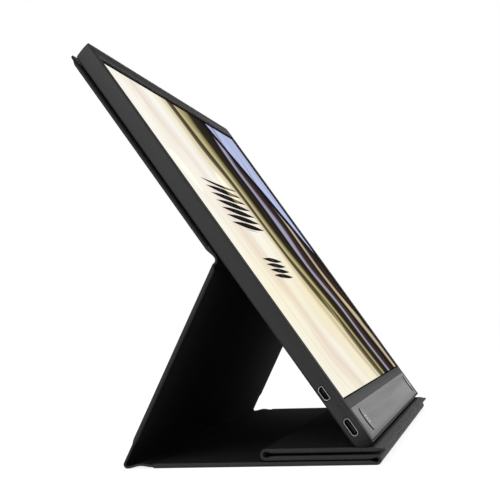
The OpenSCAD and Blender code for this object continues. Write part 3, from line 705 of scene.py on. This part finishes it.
def bend_path(centre, radius, a0, a1, steps, thick=STRIP_T):
    """Arc of strip around a centre in the Y-Z plane, its normal pointing away from the centre."""
    points = []
    for k in range(steps + 1):
        a = math.radians(a0 + (a1 - a0) * k / steps)
        out = Vector((0, math.cos(a), math.sin(a)))
        points.append((centre + radius * out, out, -thick / 2, thick / 2))
    return points


def line_path(start, end, normal, steps):
    return [(start.lerp(end, k / steps), normal, -STRIP_T / 2, STRIP_T / 2) for k in range(steps + 1)]


# ---------------------------------------------------------------- the cover's panels
def base_place(y):
    return Vector((0, BASE_FRONT + y, 0)), Vector((0, 0, 1))


def middle_place(y):
    return Vector((0, MIDDLE_REAR - y, MIDDLE_Z + PANEL_T)), Vector((0, 0, -1))


def flap_place(y):
    return Vector((0, MIDDLE_REAR - y, FLAP_Z)), Vector((0, 0, 1))


def leg_place(y):
    return LEG_START + (LEG_LOW + y) * LEG_DIR + PANEL_T / 2 * LEG_OUT, -LEG_OUT


def upper_place(y):
    return on_face(0, UPPER_START + y, BODY_T + PAD_T + PANEL_T), -DEEP


LEG_LEN = LEG_TOP - LEG_LOW - LEG_HIGH
UPPER_LEN = BODY_H - UPPER_START
UPPER_SIDE = 0.8  # the upper panel's hem lies nearer its lining
COVER = {
    # name: place, length, the strip at each end, body, free far end
    "base": (base_place, BASE_LEN, (0, LOOP_T, 0, TAPER), (0.5, STRIP_T, 0, 1.0), "base", False),
    "middle": (middle_place, MIDDLE_LEN, (1, LOOP_T, 0, TAPER), (0, LOOP_T, 0, TAPER),
               "middle_flap", False),
    "flap": (flap_place, FLAP_LEN, (1, LOOP_T, 0, TAPER), (0.5, STRIP_T, FLAP_HEM, TAPER),
             "front_flap", True),
    "leg": (leg_place, LEG_LEN, (0.5, STRIP_T, 0, TAPER), (0, STRIP_T, 0, TAPER), "leg", False),
    "upper": (upper_place, UPPER_LEN, (1, PANEL_T, 0, TAPER), (UPPER_SIDE, STRIP_T, UPPER_HEM, TAPER),
              "display", True),
}
PANEL_ROUND, LINING_ROUND, FOLD_ROUND, FREE_CORNER = 0.6, 0.1, 0.45, 4.0
LINING_SUNK, LINING_PROUD = 0.3, 0.06


def cover_panel(key):
    place, length, end0, end1, body, free = COVER[key]
    skin = loft_strip(key + "_leather", panel_path(place, length, end0, end1, free), BODY_W / 2,
                      LEATHER, PANEL_ROUND, corner=FREE_CORNER if free else 0.0)
    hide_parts(key + "_skin")
    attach(skin, body)
    # lining sheet, a hair proud of the turned leather edge; it runs on over the folds
    end = length - end1[2] - end1[3] - RIM_W if free else length
    sheet = []
    for y in [b for b in panel_breaks(length, end0, end1) if b < end] + [end]:
        base, normal = place(y)
        high = panel_faces(y, length, end0, end1)[1]
        sheet.append((base, normal, high - LINING_SUNK, high + LINING_PROUD))
    lining = loft_strip(key + "_microfibre", sheet, BODY_W / 2 - RIM_W,
                        LINING, LINING_ROUND)
    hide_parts(key + "_lining")
    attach(lining, body)


for panel_name in COVER:
    cover_panel(panel_name)


# ---------------------------------------------------------------- the cover's folds
def cover_fold(name, path, lined):
    fold = loft_strip(name + "_loop", path, BODY_W / 2, LEATHER, FOLD_ROUND, lined=lined)
    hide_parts(name)
    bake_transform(fold)


# the two round loops under the display, by the radius of their outer face
front_outer = (MIDDLE_Z + PANEL_T) / 2
front_centre = Vector((0, BASE_FRONT, front_outer))
cover_fold("front_fold", bend_path(front_centre, front_outer - LOOP_T / 2, 270, 90, 20, LOOP_T),
           "low")
rear_outer = (FLAP_TOP - MIDDLE_Z) / 2
rear_centre = Vector((0, MIDDLE_REAR, MIDDLE_Z + rear_outer))
cover_fold("rear_fold", bend_path(rear_centre, rear_outer - LOOP_T / 2, -90, 90, 20, LOOP_T),
           "high")

foot_path = bend_path(FOOT, FOOT_BEND, -90, math.degrees(LEG_ANGLE) - 90, 16)
foot_path += line_path(LEG_START, LEG_START + LEG_LOW * LEG_DIR, LEG_OUT, 6)[1:]
cover_fold("foot_fold", foot_path, "low")

# the upper strip leaves the leg flush with its skin, and swells to the upper panel's full thickness
strip_from = LEG_START + (LEG_TOP - LEG_HIGH) * LEG_DIR
strip_to = on_face(0, UPPER_START, STRIP_DEEP)
upper_path = []
for step in range(6):
    share = step / 5
    shift = (PANEL_T - STRIP_T) / 2 * (1 - ease(share))
    centre = strip_from.lerp(BEND_START, share)
    upper_path.append((centre, -LEG_OUT, -STRIP_T / 2 - shift, STRIP_T / 2 - shift))
leg_slope, face_slope = math.degrees(LEG_ANGLE) + 90, 180 - math.degrees(TILT)
upper_path += bend_path(BEND_CENTRE, UPPER_BEND, leg_slope, face_slope, 12)[1:]
bend_end = upper_path[-1][0]
for step in range(1, 13):
    share = step / 12
    swell = (PANEL_T - STRIP_T) * ease(share)
    upper_path.append((bend_end.lerp(strip_to, share), -DEEP, -STRIP_T / 2 - swell, STRIP_T / 2))
cover_fold("upper_fold", upper_path, "high")

# the spine strip is arched a little between the base panel and the foot fold
spine_path = []
for step in range(9):
    share = step / 8
    rise = (REST_GAP + STRIP_T / 2 - PANEL_T / 2) * ease(share)
    arch = SPINE_BOW * math.sin(math.pi * share) ** 2
    centre = Vector((0, BASE_REAR + SPINE_W * share, PANEL_T / 2 + rise + arch))
    spine_path.append((centre, Vector((0, 0, 1)), -STRIP_T / 2, STRIP_T / 2))
spine = loft_strip("spine_leather", spine_path, BODY_W / 2, LEATHER, FOLD_ROUND, lined="high")
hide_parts("spine_strip")
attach(spine, "base")

# ---------------------------------------------------------------- the casing
softened_node("rear_shell", "casing_shell", 0.22, "display")
softened_node("front_frame", "casing_frame", 0.18, "display")
softened_node("trim_strip", "brushed_strip", 0.06, "display")
softened_node("menu_button", "menu_cap", 0.14, "menu_key", 3)
softened_node("power_button", "power_cap", 0.14, "power_key", 3)
softened_node("usb_c_socket", "usb_c_mouth_shell", 0.05, "display")
softened_node("micro_video_socket", "video_mouth_shell", 0.05, "display")


# ---------------------------------------------------------------- printed marks on the keys
def stroke_outline(points, width):
    """Outline of a pen stroke with round ends along a list of (x, up) points."""
    half = width / 2
    sides = {1: [], -1: []}
    for i, point in enumerate(points):
        before, after = points[max(i - 1, 0)], points[min(i + 1, len(points) - 1)]
        run = Vector((after[0] - before[0], after[1] - before[1])).normalized()
        for side in (1, -1):
            sides[side].append((point[0] - side * half * run.y, point[1] + side * half * run.x))

    def cap(tip, start):
        first = math.atan2(start[1] - tip[1], start[0] - tip[0])
        angles = [first - math.pi * k / 6 for k in range(1, 6)]
        return [(tip[0] + half * math.cos(a), tip[1] + half * math.sin(a)) for a in angles]

    return sides[1] + cap(points[-1], sides[1][-1]) + sides[-1][::-1] + cap(points[0], sides[-1][0])


MARK_PROUD, MARK_SUNK = 0.03, 0.01


def key_mark(name, x, strokes, width, body):
    """Thin printed strokes on a key's cap."""
    bm = bmesh.new()
    top, under = -BUTTON_OUT - MARK_PROUD, -BUTTON_OUT + MARK_SUNK
    for stroke in strokes:
        outline = stroke_outline(stroke, width)
        upper = [bm.verts.new(on_face(x + px, BUTTON_UP + py, top) * MM) for px, py in outline]
        lower = [bm.verts.new(on_face(x + px, BUTTON_UP + py, under) * MM) for px, py in outline]
        bm.faces.new(upper)
        bm.faces.new(lower[::-1])
        for i in range(len(outline)):
            k = (i + 1) % len(outline)
            bm.faces.new((upper[i], lower[i], lower[k], upper[k]))
    bmesh.ops.recalc_face_normals(bm, faces=bm.faces)
    mesh = bpy.data.meshes.new(name)
    bm.to_mesh(mesh)
    bm.free()
    mark = new_piece(name, mesh, PRINT)
    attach(mark, body)


MARK_R, BAR_PITCH, BAR_W, RING_W, STEM = 2.3, 1.6, 0.7, 0.6, (0.6, 2.9)
menu_bars = [[(-MARK_R, up), (MARK_R, up)] for up in (-BAR_PITCH, 0, BAR_PITCH)]
# the ring is open at its top, where the stem stands
ring_angles = [math.radians(a) for a in range(-235, 56, 10)]
power_ring = [(MARK_R * math.cos(a), MARK_R * math.sin(a)) for a in ring_angles]
key_mark("menu_mark", MENU_X, menu_bars, BAR_W, "menu_key")
key_mark("power_mark", POWER_X, [power_ring, [(0, STEM[0]), (0, STEM[1])]], RING_W, "power_key")


# ---------------------------------------------------------------- rows of small details, by geometry nodes
ROW_SEED = 7


def row_group(name, solid):
    """Geometry node group that repeats a small solid along a straight row."""
    group = bpy.data.node_groups.new(name, "GeometryNodeTree")
    nodes, link = group.nodes, group.links.new
    for label, way, kind in (
            ("Geometry", "INPUT", "Geometry"), ("Count", "INPUT", "Int"), ("First place", "INPUT", "Vector"),
            ("Step", "INPUT", "Vector"), ("Size", "INPUT", "Vector"), ("Turn", "INPUT", "Vector"),
            ("Unevenness", "INPUT", "Float"), ("Material", "INPUT", "Material"),
            ("Geometry", "OUTPUT", "Geometry")):
        group.interface.new_socket(label, in_out=way, socket_type="NodeSocket" + kind)

    def vector_maths(operation):
        node = nodes.new("ShaderNodeVectorMath")
        node.operation = operation
        return node

    given, result = nodes.new("NodeGroupInput"), nodes.new("NodeGroupOutput")
    row = nodes.new("GeometryNodeMeshLine")
    row.mode = "OFFSET"
    link(given.outputs["Count"], row.inputs["Count"])
    link(given.outputs["First place"], row.inputs["Start Location"])
    link(given.outputs["Step"], row.inputs["Offset"])
    # each copy is turned a little off the row, about its Y and Z
    spread = nodes.new("FunctionNodeRandomValue")
    spread.data_type = "FLOAT_VECTOR"
    for limit, sign in (("Min", -1), ("Max", 1)):
        scaled = vector_maths("SCALE")
        scaled.inputs[0].default_value = (0, sign, sign)
        link(given.outputs["Unevenness"], scaled.inputs["Scale"])
        link(scaled.outputs[0], spread.inputs[limit])
    spread.inputs["Seed"].default_value = ROW_SEED
    turned = vector_maths("ADD")
    link(given.outputs["Turn"], turned.inputs[0])
    link(spread.outputs["Value"], turned.inputs[1])
    copies = nodes.new("GeometryNodeInstanceOnPoints")
    link(row.outputs["Mesh"], copies.inputs["Points"])
    link(solid(group).outputs["Mesh"], copies.inputs["Instance"])
    link(turned.outputs[0], copies.inputs["Rotation"])
    link(given.outputs["Size"], copies.inputs["Scale"])
    real = nodes.new("GeometryNodeRealizeInstances")
    paint = nodes.new("GeometryNodeSetMaterial")
    link(copies.outputs["Instances"], real.inputs["Geometry"])
    link(real.outputs["Geometry"], paint.inputs["Geometry"])
    link(given.outputs["Material"], paint.inputs["Material"])
    link(paint.outputs["Geometry"], result.inputs["Geometry"])
    return group


def stitch_solid(group):
    ball = group.nodes.new("GeometryNodeMeshUVSphere")
    ball.inputs["Segments"].default_value = 10
    ball.inputs["Rings"].default_value = 8
    ball.inputs["Radius"].default_value = 0.5
    return ball


def contact_solid(group):
    blade = group.nodes.new("GeometryNodeMeshCube")
    blade.inputs["Size"].default_value = (1, 1, 1)
    return blade


STITCH_ROW = row_group("stitch row", stitch_solid)
CONTACT_ROW = row_group("contact row", contact_solid)


def detail_row(name, group, body, slot, material, **values):
    """One row as a plain mesh that rides on a body."""
    holder = bpy.data.objects.new(name, bpy.data.meshes.new(name))
    bpy.context.scene.collection.objects.link(holder)
    modifier = holder.modifiers.new("row", "NODES")
    modifier.node_group = group
    inputs = [item for item in group.interface.items_tree if item.in_out == "INPUT"]
    identifiers = {item.name: item.identifier for item in inputs}
    modifier[identifiers["Material"]] = material
    for label, value in values.items():
        modifier[identifiers[label.replace("_", " ")]] = value
    bake_modifiers(holder)
    holder.data.name = name
    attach(holder, body)


# turn that lays a solid's Y up the display's face
FACE_LIFT = (math.pi / 2 - TILT, 0, 0)
# pitch, distance from the flap's edge and from the upper panel's edge, and from the row's ends
STITCH_PITCH, STITCH_IN, UPPER_STITCH_IN, STITCH_FREE = 3.4, 1.1, 1.5, 7.0
STITCH_SIZE = Vector((2.4, 0.42, 0.3))
STITCH = {"Size": STITCH_SIZE * MM, "Step": (STITCH_PITCH * MM, 0, 0), "Unevenness": 0.03}
stitch_count = int((BODY_W - 2 * STITCH_FREE) / STITCH_PITCH)
stitch_from = -(stitch_count - 1) * STITCH_PITCH / 2
flap_hem = Vector((stitch_from, MIDDLE_REAR - FLAP_LEN + STITCH_IN, FLAP_Z + (PANEL_T + STRIP_T) / 2))
upper_hem = on_face(stitch_from, BODY_H - UPPER_STITCH_IN,
                    BODY_T + PAD_T + PANEL_T - UPPER_SIDE * (PANEL_T - STRIP_T))
detail_row("flap_stitches", STITCH_ROW, "front_flap", "cover_skin", THREAD,
           Count=stitch_count, First_place=flap_hem * MM, **STITCH)
detail_row("upper_stitches", STITCH_ROW, "display", "cover_skin", THREAD,
           Count=stitch_count, First_place=upper_hem * MM, Turn=FACE_LIFT, **STITCH)

CONTACT_IN, CONTACT_LEN, CONTACT_T, CONTACT_SHARE = 3.3, 3.4, 0.06, 0.55


def socket_contacts(name, up, deep, half_tongue, count, pitch):
    """Gold contacts on both faces of a socket's tongue."""
    for face, side in (("front", -1), ("back", 1)):
        first = on_face(CONTACT_IN - BODY_W / 2, up - (count - 1) * pitch / 2, deep + side * half_tongue)
        detail_row(name + "_contacts_" + face, CONTACT_ROW, "display", "socket_metal", GOLD,
                   Count=count, First_place=first * MM, Step=UP * pitch * MM, Turn=FACE_LIFT,
                   Size=Vector((CONTACT_LEN, CONTACT_SHARE * pitch, CONTACT_T)) * MM)


socket_contacts("usb_c", USB_UP, USB_DEEP, 0.35, 12, 0.5)
socket_contacts("video", VIDEO_UP, VIDEO_DEEP, 0.3, 9, 0.42)


# ---------------------------------------------------------------- floor, light and background
def seen_directly(tree):
    """1 for camera, glossy and transmission rays, 0 for the rays that light the object."""
    rays = tree.nodes.new("ShaderNodeLightPath")
    total = rays.outputs["Is Camera Ray"]
    for label in ("Is Glossy Ray", "Is Transmission Ray"):
        step = tree.nodes.new("ShaderNodeMath")
        step.operation = "MAXIMUM"
        tree.links.new(total, step.inputs[0])
        tree.links.new(rays.outputs[label], step.inputs[1])
        total = step.outputs[0]
    return total


FLOOR_HALF, FLOOR_DROP, FLOOR_LIFT = 9, 0.0001, 0.86
floor_mesh = bpy.data.meshes.new("floor")
floor_mesh.from_pydata([(x * FLOOR_HALF, y * FLOOR_HALF, 0) for x, y in ((-1, -1), (1, -1), (1, 1), (-1, 1))],
                       [], [(0, 1, 2, 3)])
floor = bpy.data.objects.new("floor", floor_mesh)
bpy.context.scene.collection.objects.link(floor)
floor.location.z = -FLOOR_DROP
floor_finish = Finish("pale floor", Roughness=0.9, Specular_IOR_Level=0.0)
cloud = floor_finish.noise(floor_finish.place(), 3.0, 2.0)
floor_finish.into("Base Color", floor_finish.ramp(cloud, [(0.3, grey(0.31)), (0.7, grey(0.33))]))
floor_finish.into("Emission Color", (1, 1, 1, 1))
floor_finish.into("Emission Strength", floor_finish.product(seen_directly(floor_finish.tree), FLOOR_LIFT))
dress(floor, floor_finish.material)

# white backdrop up to a dim ceiling, as in a studio; the lighting rays see one even level
EVEN_LEVEL, BACKDROP_LEVEL, CEILING_LEVEL = 0.42, 1.0, 0.12
world = bpy.data.worlds.new("studio")
bpy.context.scene.world = world
world.use_nodes = True
world_tree = world.node_tree
direction = world_tree.nodes.new("ShaderNodeTexCoord")
height = world_tree.nodes.new("ShaderNodeSeparateXYZ")
world_tree.links.new(direction.outputs["Generated"], height.inputs[0])
backdrop = world_tree.nodes.new("ShaderNodeMapRange")
backdrop.interpolation_type = "SMOOTHSTEP"
for label, value in (("From Min", 0.25), ("From Max", 0.5),
                     ("To Min", BACKDROP_LEVEL), ("To Max", CEILING_LEVEL)):
    backdrop.inputs[label].default_value = value
world_tree.links.new(height.outputs["Z"], backdrop.inputs["Value"])
level = world_tree.nodes.new("ShaderNodeMix")
level.data_type = "FLOAT"
level.inputs["A"].default_value = EVEN_LEVEL
world_tree.links.new(seen_directly(world_tree), level.inputs["Factor"])
world_tree.links.new(backdrop.outputs[0], level.inputs["B"])
background = world_tree.nodes["Background"]
background.inputs["Color"].default_value = (1, 1, 1, 1)
world_tree.links.new(level.outputs[0], background.inputs["Strength"])


def softbox(name, place, target, size, power):
    data = bpy.data.lights.new(name, "AREA")
    data.shape = "RECTANGLE"
    data.size, data.size_y = size
    data.energy = power
    lamp = bpy.data.objects.new(name, data)
    bpy.context.scene.collection.objects.link(lamp)
    lamp.location = place
    lamp.rotation_euler = (Vector(target) - Vector(place)).to_track_quat("-Z", "Y").to_euler()


softbox("top light", (-0.3, -0.2, 1.6), (0, 0, 0.08), (1.6, 1.2), 7.0)
softbox("side light", (-1.3, 0.3, 1.1), (0, 0, 0.1), (0.8, 0.6), 7.5)

bpy.context.scene.view_settings.view_transform = "Standard"
